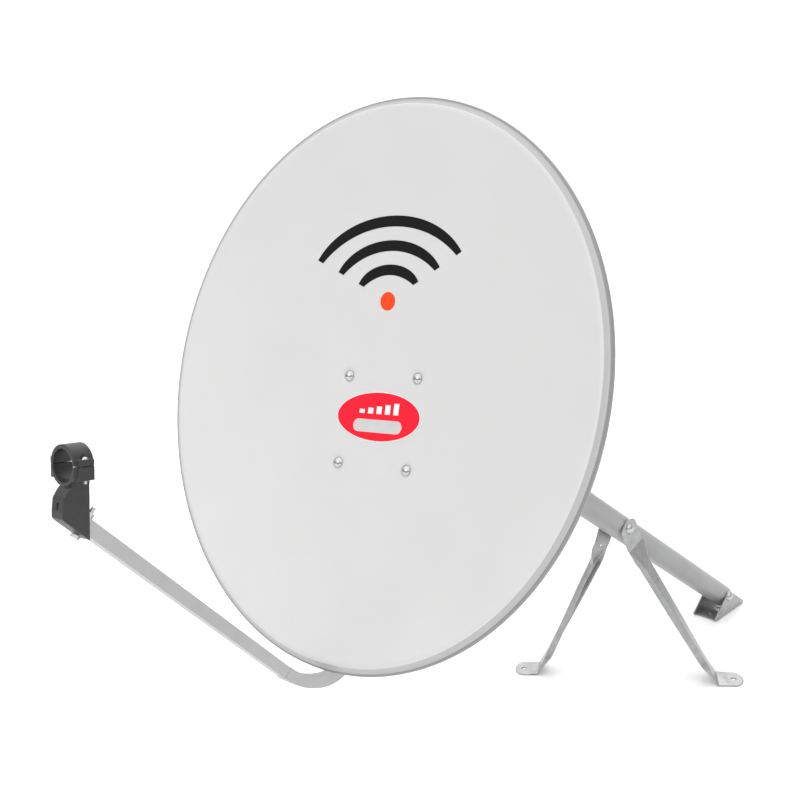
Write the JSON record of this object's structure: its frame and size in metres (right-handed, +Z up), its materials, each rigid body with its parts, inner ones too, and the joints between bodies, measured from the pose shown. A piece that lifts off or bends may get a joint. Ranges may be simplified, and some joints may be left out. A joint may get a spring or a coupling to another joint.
{
  "type": "satellite dish",
  "caption": "Offset satellite dish on a bent tube mast with two splayed struts, a turning and tilting clamp, and a feed arm with a clamp ring.",
  "frame": {"origin": "centre of the base bracket's anchor hole, on the ground", "axes": "+Z up, -Y the way the dish faces, +X to the right of someone who looks at the face of the dish; the mast and struts stand turned 14.2 degrees about +Z against the dish"},
  "size_m": [0.8999, 1.8212, 1.3858],
  "materials": {
    "reflector_paint": "satin light grey powder coat",
    "mast_tube": "satin mid grey powder coat",
    "arm_tube": "satin mid grey powder coat",
    "zinc_sheet": "dull galvanised sheet",
    "zinc_fastener": "bright zinc plate",
    "black_plastic": "fine matte moulded",
    "label_red": "printed vinyl, no lettering"
  },
  "bodies": {
    "base": {"base_bracket": "zinc_sheet", "base_pivot_bolt": "zinc_fastener", "base_pivot_nut": "zinc_fastener"},
    "mast": {"mast": "mast_tube", "mast_cap": "black_plastic", "leg_bolt": "zinc_fastener", "leg_bolt_nut": "zinc_fastener"},
    "leg_left": {"leg_left": "zinc_sheet"},
    "leg_right": {"leg_right": "zinc_sheet"},
    "clamp": {"mast_clamp": "zinc_sheet", "clamp_saddles": "zinc_sheet", "clamp_bolts": "zinc_fastener", "clamp_nuts": "zinc_fastener", "tilt_pivot_bolt": "zinc_fastener", "tilt_pivot_nut": "zinc_fastener", "tilt_lock_bolts": "zinc_fastener", "tilt_lock_nuts": "zinc_fastener"},
    "dish": {"reflector": "reflector_paint", "back_bracket": "zinc_sheet", "reflector_bolts": "zinc_fastener", "reflector_nuts": "zinc_fastener", "oval_label": "label_red", "feed_arm": "arm_tube", "arm_end_cap": "black_plastic", "arm_bolts": "zinc_fastener", "arm_nuts": "zinc_fastener", "lnb_holder": "black_plastic", "lnb_cap": "black_plastic", "cap_screws": "zinc_fastener", "holder_bolt": "zinc_fastener", "holder_nut": "zinc_fastener"}
  },
  "joints": [
    {"name": "mast_pivot", "type": "hinge", "parent": "base", "child": "mast", "pos_m": [0, 0, 0.048], "axis": [-0.9694, 0.2453, 0], "range_deg": [-15, 51]},
    {"name": "leg_left_swing", "type": "hinge", "parent": "mast", "child": "leg_left", "pos_m": [-0.10778, -0.42596, 0.40001], "axis": [0.9694, -0.2453, 0], "range_deg": [-30, 70]},
    {"name": "leg_right_swing", "type": "hinge", "parent": "mast", "child": "leg_right", "pos_m": [-0.10778, -0.42596, 0.40001], "axis": [0.9694, -0.2453, 0], "range_deg": [-70, 30]},
    {"name": "azimuth", "type": "hinge", "parent": "mast", "child": "clamp", "pos_m": [-0.23819, -0.94133, 0.95], "axis": [0, 0, 1], "range_deg": [-90, 90]},
    {"name": "tilt", "type": "hinge", "parent": "clamp", "child": "dish", "pos_m": [-0.23819, -1.00333, 0.95], "axis": [-1, 0, 0], "range_deg": [-18, 24]}
  ]
}
